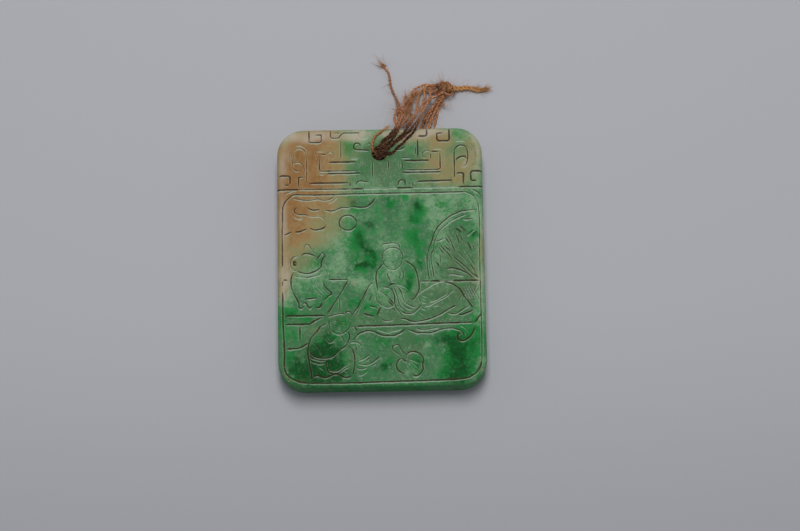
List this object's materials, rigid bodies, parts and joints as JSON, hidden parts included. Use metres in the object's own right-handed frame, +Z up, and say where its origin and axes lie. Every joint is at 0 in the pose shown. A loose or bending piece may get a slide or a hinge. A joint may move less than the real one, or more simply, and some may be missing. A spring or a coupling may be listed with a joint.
{
  "type": "jade plaque",
  "caption": "Flat rounded-rectangular pendant plaque of carved jade, engraved on its face and pierced near one end, lying on its back with its hanging thread knotted through the hole.",
  "frame": {"origin": "under the middle of the plaque, on the surface that it lies on", "axes": "+Z up, out of the engraved face; +Y along the plaque's height, towards the end with the hole; +X across its width, to the right of someone who looks at the face with the hole at the top"},
  "size_m": [0.0451, 0.0715, 0.0076],
  "materials": {
    "jade": "polished, waxy, mottled green and russet",
    "thread": "dull twisted thread, frayed at its ends"
  },
  "bodies": {
    "root": {"jade_plaque": "jade", "string_front_turns": "thread", "string_back_turns": "thread", "string_knot": "thread", "string_small_knot": "thread", "string_tail": "thread", "string_long_end": "thread", "string_short_end": "thread"}
  },
  "joints": []
}
